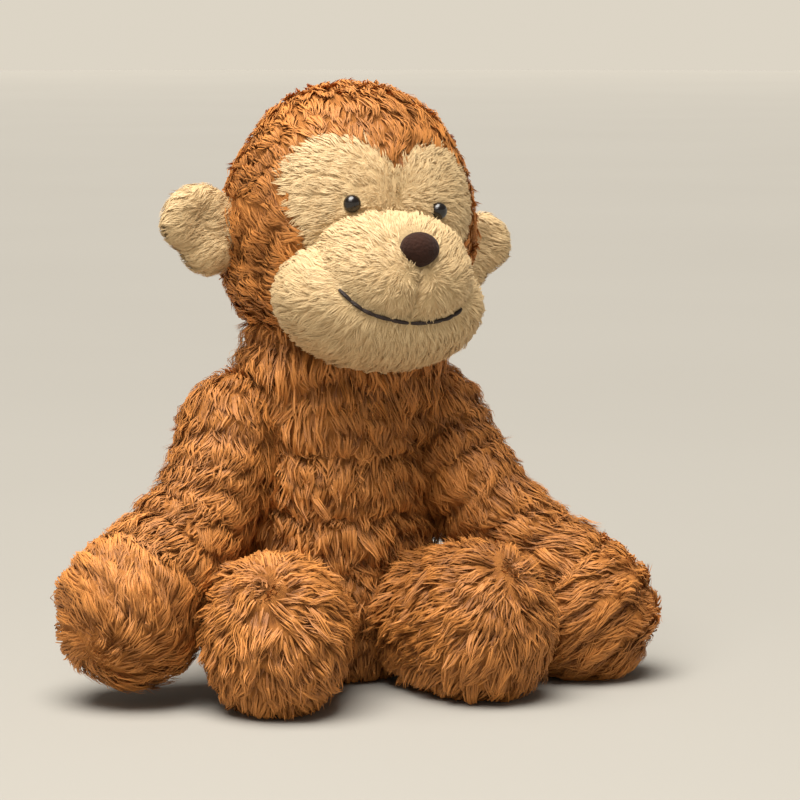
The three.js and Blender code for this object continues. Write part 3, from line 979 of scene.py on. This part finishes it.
RIBBON = {"seam": (31.5, 5, 22), "width": 11, "radius": 10, "bend": 80, "gap": 0.45, "cloth": 0.3}


def mm(values):
    return tuple(value * MM for value in values)


def mirrored(values, side):
    return (values[0] * side, *values[1:])


def pivot(joint):
    return np.array(JOINTS[joint]["pos_m"])


def bowed_line(start, bow, end, count):
    """Points along a line that bows once between its ends."""
    start, bow, end = (np.array(place, float) for place in (start, bow, end))
    middle = (start + end) / 2 + bow
    t = np.linspace(0, 1, count)[:, None]
    return start * (1 - t) ** 2 + middle * 2 * t * (1 - t) + end * t**2


def balls_along(line, radii):
    return [(tuple(place), (radius * MM,) * 3) for place, radius in zip(line, radii)]


# ---- operators, one for each group of pieces ----


class MONKEY_OT_torso(bpy.types.Operator):
    """Sews the torso's front, back and seat panels"""

    bl_idname = "monkey.torso"
    bl_label = "Torso"

    def execute(self, context):
        form = stuffed_form("torso_form", [(mm(centre), mm(radii)) for centre, radii in TORSO])
        rest_on_floor(form, TORSO_LEVEL * MM)
        nap = DownNap(radius=29 * MM)
        seam = (0, SIDE_SEAM * MM, 0)
        rim = (0, 0, SEAT_RIM * MM)
        above, front, back = (rim, (0, 0, 1)), (seam, (0, -1, 0)), (seam, (0, 1, 0))
        cuts = {
            "torso_front": (above, front),
            "torso_back_left": (above, back, ((0, 0, 0), (1, 0, 0))),
            "torso_back_right": (above, back, ((0, 0, 0), (-1, 0, 0))),
            "seat": ((rim, (0, 0, -1)),),
        }
        for name, planes in cuts.items():
            panel = cut_panel(form, name + "_plush", *planes)
            strands = brush(panel, form, nap, long_pile(), PLUSH["brown"])
            sew(panel, strands, "torso", [name + "_panel"])
        bpy.data.objects.remove(form)
        return {"FINISHED"}


class MONKEY_OT_neck(bpy.types.Operator):
    """Covers the round neck"""

    bl_idname = "monkey.neck"
    bl_label = "Neck"

    def execute(self, context):
        centre = pivot("neck_turn")
        form = stuffed_form("neck_form", [(tuple(centre + np.array(mm((-1, 0, 0)))), mm(NECK))])
        low, high = centre - UP * NECK_HALF * MM, centre + UP * NECK_HALF * MM
        panel = cut_panel(form, "neck_plush", (low, (0, 0, 1)), (high, (0, 0, -1)))
        nap = DownNap(radius=24 * MM)
        strands = brush(panel, form, nap, long_pile(height=8 * MM), PLUSH["brown"])
        sew(panel, strands, "neck", ["neck_band"])
        bpy.data.objects.remove(form)
        return {"FINISHED"}


def head_matrix():
    head = settings("head")
    return Matrix.Translation(head.centre) @ Euler((0, head.roll, head.turn), "ZYX").to_matrix().to_4x4()


def head_turn():
    return head_matrix().to_euler()


def on_head(place):
    """A place given in millimetres from the middle of the head."""
    return np.array(head_matrix() @ Vector(mm(place)))


def in_head(places):
    """Places in millimetres from the middle of the head, along the head's own axes."""
    matrix = np.array(head_matrix().inverted())
    return (places @ matrix[:3, :3].T + matrix[:3, 3]) / MM


def egg_gap(places, name):
    """About how many millimetres places of the head stand out of one of its forms."""
    gaps = []
    for centre, radii in HEAD_EGGS[name]:
        off = (in_head(places) - centre) / radii
        gaps.append((np.linalg.norm(off, axis=1) - 1) * min(radii))
    return np.min(gaps, axis=0)


def brow_gap(places):
    """Millimetres from the cream brow, below 0 on it: two round lobes over a broad base."""
    x, y, z = in_head(places).T
    across, level, radius = BROW_LOBE
    lobes = np.hypot(np.abs(x) - across, z - level) - radius
    base = np.maximum(np.abs(x) - BROW_HALF + 0.35 * np.maximum(0, 9 - z), np.abs(z - 1.5) - 13.5)
    gap = np.minimum(lobes, base) - 0.5 * wobble(places, 9 * MM, seed=5)
    return np.where(y < 0, gap, np.maximum(gap, 3))


def crown_trim(places):
    """Lays the brown pile low beside the brow, and a little lower towards the whorl."""
    from_whorl = np.linalg.norm(in_head(places) - CROWN_WHORL, axis=1)
    return np.clip(0.5 + brow_gap(places) / 16, 0.35, 1) * np.clip(0.7 + from_whorl / 110, 0.7, 1)


def crown_relief(places):
    """Flattens the pile's rows towards the top of the head."""
    return np.clip(1 - (in_head(places)[:, 2] - 16) / 40, 0.6, 1)


def near_brow(places):
    return brow_gap(places) < 2


def face_trim(places):
    """Lays the cream pile low in the creases and round the eyes, the nose and the stitches."""
    trim = np.ones(len(places))
    x, _, z = in_head(places).T
    (ex, _, ez), radius = EYE
    eyes = np.hypot(np.abs(x) - ex, z - ez) - radius
    philtrum = np.where((z < -5) & (z > -24), np.abs(x), 9)
    for gap, soft, least in ((eyes, 2.5, 0.75), (philtrum, 2.0, 0.4), (thread_gap(places), 1.6, 0.35)):
        trim = np.minimum(trim, np.clip(least + gap / soft, least, 1))
    for one, other in (("skull", "muzzle"), ("skull", "chin"), ("muzzle", "chin")):
        seam = np.maximum(np.abs(egg_gap(places, one)), np.abs(egg_gap(places, other)))
        trim = np.minimum(trim, np.clip(0.45 + seam / 5, 0.45, 1))
    return trim


class MONKEY_OT_head(bpy.types.Operator):
    """Sews the crown, the brow, the muzzle and the chin"""

    bl_idname = "monkey.head"
    bl_label = "Head"

    def execute(self, context):
        turn = head_turn()
        forms = {}
        for name, eggs in HEAD_EGGS.items():
            balls = [(tuple(on_head(centre)), mm(radii)) for centre, radii in eggs]
            forms[name] = stuffed_form(name + "_form", balls, rounds=2, turn=turn)
        middle = on_head((0, 0, 0))
        across = on_head((1, 0, 0)) - middle
        whorl = on_head(CROWN_WHORL) - on_head(SKULL_CENTRE)
        crown_nap = WhorlNap(on_head(SKULL_CENTRE), whorl, radius=38 * MM)

        for side, sign in SIDES:
            panel = cut_panel(forms["skull"], f"crown_{side}_plush", (middle, across * sign))
            drop_faces(panel, lambda at: buried(at, "chin", "muzzle") | (brow_gap(at) < 0))
            pile = long_pile(
                trim=crown_trim, relief=crown_relief, crimp=0.68, gather=0.5, stray=0.02, curl=0.07
            )
            strands = brush(panel, forms["skull"], crown_nap, pile, PLUSH["brown"], near_brow)
            sew(panel, strands, "head", [f"crown_{side}_panel"])

        panel = cut_panel(forms["skull"], "brow_plush")
        drop_faces(panel, lambda at: buried(at, "chin", "muzzle") | (brow_gap(at) > 0))
        face, front = (on_head(place) for place in FACE_WHORL)
        face_nap = WhorlNap(face, front - face, radius=28 * MM)
        pile = short_pile(trim=face_trim)
        strands = brush(panel, forms["skull"], face_nap, pile, PLUSH["cream"], near_eyes)
        sew(panel, strands, "head", ["brow_panel"])

        panel = cut_panel(forms["chin"], "chin_plush")
        drop_faces(panel, lambda at: buried(at, "muzzle", "skull"))
        pile = short_pile(length=6.2 * MM, gather=0.6, crimp=0.35, trim=face_trim)
        strands = brush(panel, forms["chin"], face_nap, pile, PLUSH["cream"], near_thread)
        sew(panel, strands, "head", ["chin_panel"])

        crease(forms["muzzle"])
        panel = cut_panel(forms["muzzle"], "muzzle_plush")
        drop_faces(panel, lambda at: buried(at, "chin", "skull"))
        pile = short_pile(trim=face_trim)
        strands = brush(panel, forms["muzzle"], face_nap, pile, PLUSH["cream"], near_thread)
        sew(panel, strands, "head", ["muzzle_panel"])
        for form in forms.values():
            bpy.data.objects.remove(form)
        return {"FINISHED"}


def buried(places, *names):
    """Whether places of the head lie under the skin of another of its forms."""
    return np.min([egg_gap(places, name) for name in names], axis=0) < -BURIED


def crease(form):
    """Draws the muzzle in along the stitch between the nose and the smile."""
    places = corners(form)
    x, y, z = in_head(places).T
    deep = np.exp(-((x / 1.8) ** 2)) * np.clip((-z - 5) / 4, 0, 1) * np.clip((z + 27) / 5, 0, 1)
    back = on_head((0, 1, 0)) - on_head((0, 0, 0))
    put_corners(form, places + np.outer(deep * (y < -40) * CREASE_DEPTH, back))


def near_eyes(places):
    x, _, z = in_head(places).T
    (ex, _, ez), radius = EYE
    return np.hypot(np.abs(x) - ex, z - ez) < radius * 0.8


def smile_line(side, count=40):
    """The smile on one side, on the muzzle's face, from its corner to its middle."""
    corner = [np.array(mirrored(place, side), float) for place in SMILE]
    t = np.linspace(0, 1, count)
    weights = [(1 - t) ** 3, 3 * t * (1 - t) ** 2, 3 * t**2 * (1 - t), t**3]
    # The curve's two handles lie a little beyond the places that it passes near.
    pulls = (corner[0], corner[1] * 1.25 - corner[0] * 0.25, corner[2] * 1.15 - corner[3] * 0.15, corner[3])
    flat = sum(weight[:, None] * place for weight, place in zip(weights, pulls))
    return np.array([(x, muzzle_front(x, z), z) for x, z in flat])


def muzzle_front(x, z):
    """How far forward the chin or the muzzle comes at a place on the face."""
    fronts = []
    for centre, radii in (*HEAD_EGGS["chin"], *HEAD_EGGS["muzzle"]):
        left = 1 - ((x - centre[0]) / radii[0]) ** 2 - ((z - centre[2]) / radii[2]) ** 2
        fronts.append(centre[1] - radii[1] * math.sqrt(max(0.0, left)))
    return min(fronts)


def thread_gap(places):
    """Millimetres across the face from the smile's stitches."""
    flat = in_head(places)[:, [0, 2]]
    gaps = [
        ((flat[:, None, :] - smile_line(side)[None, :, [0, 2]]) ** 2).sum(axis=2).min(axis=1)
        for _, side in SIDES
    ]
    return np.sqrt(np.min(gaps, axis=0)) - 0.5


def near_thread(places):
    flat = in_head(places)[:, [0, 2]]
    nose = ((flat - np.array(NOSE[0])[[0, 2]]) / np.array(NOSE[1])[[0, 2]]) ** 2
    return (thread_gap(places) < 0.25) | (nose.sum(axis=1) < 0.75)


class MONKEY_OT_face(bpy.types.Operator):
    """Adds the nose, the bead eyes and the stitched smile"""

    bl_idname = "monkey.face"
    bl_label = "Face"

    def execute(self, context):
        turn = head_turn()
        nose = add_ball(tuple(on_head(NOSE[0])), mm(NOSE[1]), turn, segments=48)
        nose = joined("nose_suede", [nose])
        shape_nose(nose)
        nose.data.materials.append(nose_finish())
        take(nose)
        bpy.ops.object.shade_smooth()
        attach(nose, "head")
        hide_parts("nose")
        gloss = eye_finish()
        thread = thread_finish()
        for label, side in SIDES:
            place, radius = EYE
            radii = mm((radius, radius * 0.9, radius))
            eye = add_ball(tuple(on_head(mirrored(place, side))), radii, turn, segments=40)
            eye = joined(f"eye_{label}_bead", [eye])
            eye.data.materials.append(gloss)
            bpy.ops.object.shade_smooth()
            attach(eye, "head")
            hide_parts(f"eye_{label}")
            smile = stitches(label, side)
            smile.data.materials.append(thread)
            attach(smile, "head")
            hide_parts(f"smile_{label}")
        return {"FINISHED"}


def shape_nose(nose):
    """Draws the nose's lower edge in to a soft point and flattens its top."""
    places = corners(nose)
    x, y, z = (in_head(places) - NOSE[0]).T
    low = np.clip(-z / NOSE[1][2], 0, 1)
    x = x * (1 - 0.28 * low**2)
    z = np.where(z > 0, z * 0.92, z)
    local = np.stack([x, y, z], axis=1) + NOSE[0]
    matrix = np.array(head_matrix())
    put_corners(nose, local * MM @ matrix[:3, :3].T + matrix[:3, 3])


def stitches(label, side):
    """One half of the smile: a thick thread laid in long stitches, let into the pile."""
    line = smile_line(side, count=41)[STITCH if side > 0 else 0 :]
    line[:, 1] -= THREAD_OUT
    deselect()
    bpy.ops.curve.primitive_nurbs_path_add(location=(0, 0, 0))
    thread = bpy.context.object
    spline = thread.data.splines[0]
    spline.points.add(len(line) - len(spline.points))
    for number, (point, place) in enumerate(zip(spline.points, line)):
        dip = abs(math.sin(number * math.pi / STITCH))
        point.co = (*on_head(place + np.array((0, 0.5 * (1 - dip), 0))), 1)
        point.radius = 0.72 + 0.28 * dip**0.5
    spline.use_endpoint_u = True
    spline.order_u = 3
    spline.resolution_u = 3
    thread.data.bevel_depth = THREAD * MM
    thread.data.bevel_resolution = 4
    thread.data.use_fill_caps = True
    bpy.ops.object.convert(target="MESH")
    smile = joined(f"smile_{label}_stitches", [bpy.context.object])
    bpy.ops.object.shade_smooth()
    return smile


class MONKEY_OT_ears(bpy.types.Operator):
    """Sews each ear's front and back"""

    bl_idname = "monkey.ears"
    bl_label = "Ears"

    def execute(self, context):
        for label, side in SIDES:
            size = EAR_SIZE[label]
            balls = [
                (tuple(on_head(mirrored(centre, side))), mm(np.array(radii) * scale))
                for (centre, radii), scale in ((EAR, size), (EAR_LOBE, size), (EAR_ROOT, 1))
            ]
            form = stuffed_form(f"ear_{label}_form", balls, voxel=1.3 * MM, rounds=5, turn=head_turn())
            dish(form, side)
            middle = on_head(mirrored(EAR[0], side))
            forward = on_head((0, -1, 0)) - on_head((0, 0, 0))
            inward = on_head((-side, 0, 0.35)) - on_head((0, 0, 0))
            nap = WhorlNap(middle, inward, radius=EAR[1][0] * MM)
            for name, normal in (("front", forward), ("back", -forward)):
                panel = cut_panel(form, f"ear_{label}_{name}_plush", (middle, normal))
                strands = brush(panel, form, nap, short_pile(height=2 * MM), PLUSH["cream"])
                sew(panel, strands, f"ear_{label}", [f"ear_{label}_{name}"])
            bpy.data.objects.remove(form)
        return {"FINISHED"}


def dish(form, side):
    """Hollows the ear's front a little, as a folded ear is."""
    places = corners(form)
    x, y, z = (in_head(places) - mirrored(EAR[0], side)).T
    deep = np.exp(-((x / 6) ** 2) - (z / 7.5) ** 2) * (y < 0)
    back = on_head((0, 1, 0)) - on_head((0, 0, 0))
    put_corners(form, places + np.outer(deep * EAR_DISH, back))


class MONKEY_OT_arms(bpy.types.Operator):
    """Sews each arm's outer and inner panel"""

    bl_idname = "monkey.arms"
    bl_label = "Arms"

    def execute(self, context):
        for label, side in SIDES:
            root = pivot(f"shoulder_{label}_swing")
            course = root, mm(ARM["bow"][label]), mm(ARM["end"][label])
            line = bowed_line(*course, len(ARM_RADII))
            form = stuffed_form(f"arm_{label}_form", balls_along(line, ARM_RADII))
            rest_on_floor(form, LIMB_LEVEL * MM)
            along = unit(line[-1] - line[0])
            outward = np.array((side, 0, 0.4))
            outward = unit(outward - along * (outward @ along))
            nap = LineNap(bowed_line(*course, count=24), radius=14 * MM, turn_back=12 * MM)
            for name, normal in (("outer", outward), ("inner", -outward)):
                panel = cut_panel(form, f"arm_{label}_{name}_plush", (root, normal))
                pile = long_pile(height=5 * MM, gather=0.5, stray=0.06)
                strands = brush(panel, form, nap, pile, PLUSH["brown"])
                sew(panel, strands, f"arm_{label}", [f"arm_{label}_{name}_panel"])
            bpy.data.objects.remove(form)
        return {"FINISHED"}


class MONKEY_OT_legs(bpy.types.Operator):
    """Sews each leg's top, under and sole panels"""

    bl_idname = "monkey.legs"
    bl_label = "Legs"

    def execute(self, context):
        for label, _ in SIDES:
            root = pivot(f"hip_{label}_lift")
            line = bowed_line(root, (0, 0, 0), mm(LEG_END[label]), len(LEG_RADII))
            widths = np.linspace(1, FOOT_WIDTH[label], len(LEG_RADII))
            balls = [
                (place, (radii[0] * width, radii[1], radii[2]))
                for (place, radii), width in zip(balls_along(line, LEG_RADII), widths)
            ]
            form = stuffed_form(f"leg_{label}_form", balls)
            rest_on_floor(form, LIMB_LEVEL * MM)
            along = unit(line[-1] - line[0])
            up = unit(UP - along * (UP @ along))
            sole = line[-1] + along * SOLE_SEAM * MM
            nap = WhorlNap(line[-1], along * 0.64 + up * 0.77, radius=22 * MM)
            pieces = {
                f"leg_{label}_top": ((root, up), (sole, -along)),
                f"leg_{label}_under": ((root, -up), (sole, -along)),
                f"foot_{label}_upper_sole": ((root, up), (sole, along)),
                f"foot_{label}_lower_sole": ((root, -up), (sole, along)),
            }
            for name, planes in pieces.items():
                panel = cut_panel(form, name + "_plush", *planes)
                strands = brush(panel, form, nap, long_pile(crimp=0.6), PLUSH["brown"])
                sew(panel, strands, f"leg_{label}", [name + "_panel"])
            bpy.data.objects.remove(form)
        return {"FINISHED"}


class MONKEY_OT_tail(bpy.types.Operator):
    """Sews the tail's two panels"""

    bl_idname = "monkey.tail"
    bl_label = "Tail"

    def execute(self, context):
        course = [mm(place) for place in TAIL]
        shares = np.linspace(0, 1, TAIL_BALLS)
        radii = np.interp(shares, np.linspace(0, 1, len(TAIL_RADII)), TAIL_RADII)
        balls = balls_along(bowed_line(*course, TAIL_BALLS), radii)
        form = stuffed_form("tail_form", balls, voxel=1.8 * MM)
        nap = LineNap(bowed_line(*course, count=30), radius=8 * MM)
        for name, normal in (("top", (0, 0, 1)), ("under", (0, 0, -1))):
            panel = cut_panel(form, f"tail_{name}_plush", ((0, 0, TAIL[2][2] * MM), normal))
            strands = brush(panel, form, nap, long_pile(height=3.6 * MM), PLUSH["brown"])
            sew(panel, strands, "tail", [f"tail_{name}_panel"])
        bpy.data.objects.remove(form)
        return {"FINISHED"}


class MONKEY_OT_label(bpy.types.Operator):
    """Folds the blank ribbon that is sewn into the side seam"""

    bl_idname = "monkey.label"
    bl_label = "Label"

    def execute(self, context):
        deselect()
        bpy.ops.mesh.primitive_grid_add(x_subdivisions=36, y_subdivisions=8, size=1)
        ribbon = bpy.context.object
        ribbon.name = "care_label_ribbon"
        t, across, _ = corners(ribbon).T
        turn = (1 - np.abs(2 * t)) * math.radians(RIBBON["bend"])
        layer = RIBBON["gap"] * np.tanh(t * 14)
        radius = RIBBON["radius"]
        x, y, z = RIBBON["seam"]
        x = x + (radius - layer) * np.sin(turn)
        y = y + radius - (radius - layer) * np.cos(turn)
        z = z + across * RIBBON["width"] - 2.2 * turn**2 + 0.3 * np.sin(turn * 4)
        places = np.stack([x, y, z], axis=1) * MM
        put_corners(ribbon, places)
        modify(ribbon, "SOLIDIFY", thickness=RIBBON["cloth"] * MM, offset=0)
        take(ribbon)
        bpy.ops.object.shade_smooth()
        satin = cloth_finish("satin_ribbon", (0.86, 0.84, 0.80), (0.97, 0.96, 0.93), 0.25 * MM)
        ribbon.data.materials.append(satin)
        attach(ribbon, "torso")
        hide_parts("care_label")
        return {"FINISHED"}


class MONKEY_OT_inner_pieces(bpy.types.Operator):
    """Gives the stuffing, the pellet pouches and the washers their finishes"""

    bl_idname = "monkey.inner_pieces"
    bl_label = "Inner pieces"

    def execute(self, context):
        finishes = {
            "stuffing": fibre_finish(),
            "pouch_cloth": cloth_finish("calico", (0.50, 0.45, 0.34), (0.72, 0.67, 0.55), 0.5 * MM),
            "lock_washer": moulded_finish(),
        }
        for part in frame["record"]["subparts"]:
            finish = finishes.get(part["material_slot"])
            if finish:
                node = frame["nodes"][part["node"]]
                node.data.materials.clear()
                node.data.materials.append(finish)
        return {"FINISHED"}


FLOOR = {"size": 400, "colours": ((0.305, 0.292, 0.264), (0.325, 0.312, 0.283))}
WALL = {"radius": 7, "height": 1.9, "colour": (0.706, 0.65, 0.55)}
ROOM = {"colour": (0.86, 0.82, 0.76), "strength": 0.2}
WARM = (1.0, 0.96, 0.9)
CEILING = {"spread": math.radians(48), "strength": 5.7, "aim": (0.2, 0.16, -1)}
SENSOR = 36  # in millimetres
KEY = {"place": (-0.25, -0.3, 0.62), "aim": (0, 0, 0.09), "size": 0.4, "power": 2.3}


class MONKEY_OT_stage(bpy.types.Operator):
    """Lays the floor and sets the lights and the camera"""

    bl_idname = "monkey.stage"
    bl_label = "Stage"

    def execute(self, context):
        deselect()
        bpy.ops.mesh.primitive_plane_add(size=FLOOR["size"], location=(0, 0, 0))
        floor = bpy.context.object
        floor.name = "floor"
        finish = Finish("pale_floor", roughness=0.9)
        finish.colours(finish.noise(0.4), *FLOOR["colours"])
        floor.data.materials.append(finish.material)
        bpy.ops.mesh.primitive_cylinder_add(
            vertices=64, radius=WALL["radius"], depth=WALL["height"], end_fill_type="NOTHING",
            location=(0, 0, WALL["height"] / 2),
        )
        wall = bpy.context.object
        wall.name = "pale_wall"
        glow = Finish("pale_wall", roughness=1)
        glow.shader.inputs["Base Color"].default_value = (0, 0, 0, 1)
        glow.shader.inputs["Emission Color"].default_value = (*WALL["colour"], 1)
        glow.shader.inputs["Emission Strength"].default_value = 1
        wall.data.materials.append(glow.material)
        wall.visible_shadow = False
        world = bpy.data.worlds.new("soft_room")
        world.use_nodes = True
        background = world.node_tree.nodes["Background"]
        background.inputs["Color"].default_value = (*ROOM["colour"], 1)
        background.inputs["Strength"].default_value = ROOM["strength"]
        context.scene.world = world
        context.scene.view_settings.view_transform = "Standard"
        self.light("ceiling", "SUN", CEILING["strength"], CEILING["aim"]).angle = CEILING["spread"]
        aim = Vector(KEY["aim"]) - Vector(KEY["place"])
        self.light("key", "AREA", KEY["power"], aim, KEY["place"]).size = KEY["size"]
        self.camera(context)
        return {"FINISHED"}

    def light(self, name, kind, power, aim, place=(0, 0, 0)):
        light = bpy.data.lights.new(name, kind)
        light.energy = power
        light.color = WARM
        lamp = bpy.data.objects.new(name, light)
        lamp.location = place
        lamp.rotation_euler = Vector(aim).to_track_quat("-Z", "Y").to_euler()
        bpy.context.collection.objects.link(lamp)
        return light

    def camera(self, context):
        stage = settings("stage")
        target = Vector(stage.target)
        flat = math.cos(stage.elevation)
        back = Vector(
            (math.sin(stage.azimuth) * flat, -math.cos(stage.azimuth) * flat, math.sin(stage.elevation))
        )
        lens = bpy.data.cameras.new("camera")
        lens.lens = stage.lens
        lens.sensor_width = SENSOR
        camera = bpy.data.objects.new("camera", lens)
        camera.location = target + back * stage.distance
        camera.rotation_euler = (-back).to_track_quat("-Z", "Y").to_euler()
        context.collection.objects.link(camera)
        context.scene.camera = camera


class MONKEY_PT_panel(bpy.types.Panel):
    bl_label = "Plush monkey"
    bl_idname = "MONKEY_PT_panel"
    bl_space_type = "VIEW_3D"
    bl_region_type = "UI"
    bl_category = "Plush monkey"

    def draw(self, context):
        for group, _ in GROUPS:
            held = settings(group)
            box = self.layout.box()
            for name in held.bl_rna.properties.keys():
                if name not in ("rna_type", "name"):
                    box.prop(held, name)
        for operator in OPERATORS:
            self.layout.operator(operator.bl_idname)


GROUPS = (
    ("head", HeadSettings),
    ("pile", PileSettings),
    ("colour", ColourSettings),
    ("stage", StageSettings),
)
OPERATORS = (
    MONKEY_OT_stage,
    MONKEY_OT_torso,
    MONKEY_OT_neck,
    MONKEY_OT_head,
    MONKEY_OT_face,
    MONKEY_OT_ears,
    MONKEY_OT_arms,
    MONKEY_OT_legs,
    MONKEY_OT_tail,
    MONKEY_OT_label,
    MONKEY_OT_inner_pieces,
)
# For each plush cloth: its count of shades; how light a strand is at its root in a furrow, how much a crest
# adds (painted light on the crests, and so painted shade in the furrows) and how much its tip adds; and how
# much one lock differs from the next.
BROWN_SHADES, BROWN_TONES, BROWN_VARIETY = 8, (0.16, 0.54, 0.16), 1.1
CREAM_SHADES, CREAM_TONES, CREAM_VARIETY = 6, (0.35, 0.25, 0.3), 0.7
PLUSH = {}


def register():
    for group, held in GROUPS:
        bpy.utils.register_class(held)
        setattr(bpy.types.Scene, "monkey_" + group, bpy.props.PointerProperty(type=held))
    for operator in OPERATORS:
        bpy.utils.register_class(operator)
    bpy.utils.register_class(MONKEY_PT_panel)


def unregister():
    bpy.utils.unregister_class(MONKEY_PT_panel)
    for operator in reversed(OPERATORS):
        bpy.utils.unregister_class(operator)
    for group, held in reversed(GROUPS):
        delattr(bpy.types.Scene, "monkey_" + group)
        bpy.utils.unregister_class(held)


def main():
    register()
    colour = settings("colour")
    brown = (colour.brown_root, colour.brown_tip, BROWN_SHADES, BROWN_TONES, BROWN_VARIETY)
    cream = (colour.cream_root, colour.cream_tip, CREAM_SHADES, CREAM_TONES, CREAM_VARIETY)
    PLUSH["brown"] = Plush("brown_plush", *brown)
    PLUSH["cream"] = Plush("cream_plush", *cream)
    for operator in OPERATORS:
        group, name = operator.bl_idname.split(".")
        getattr(getattr(bpy.ops, group), name)()


if __name__ == "__main__":
    main()
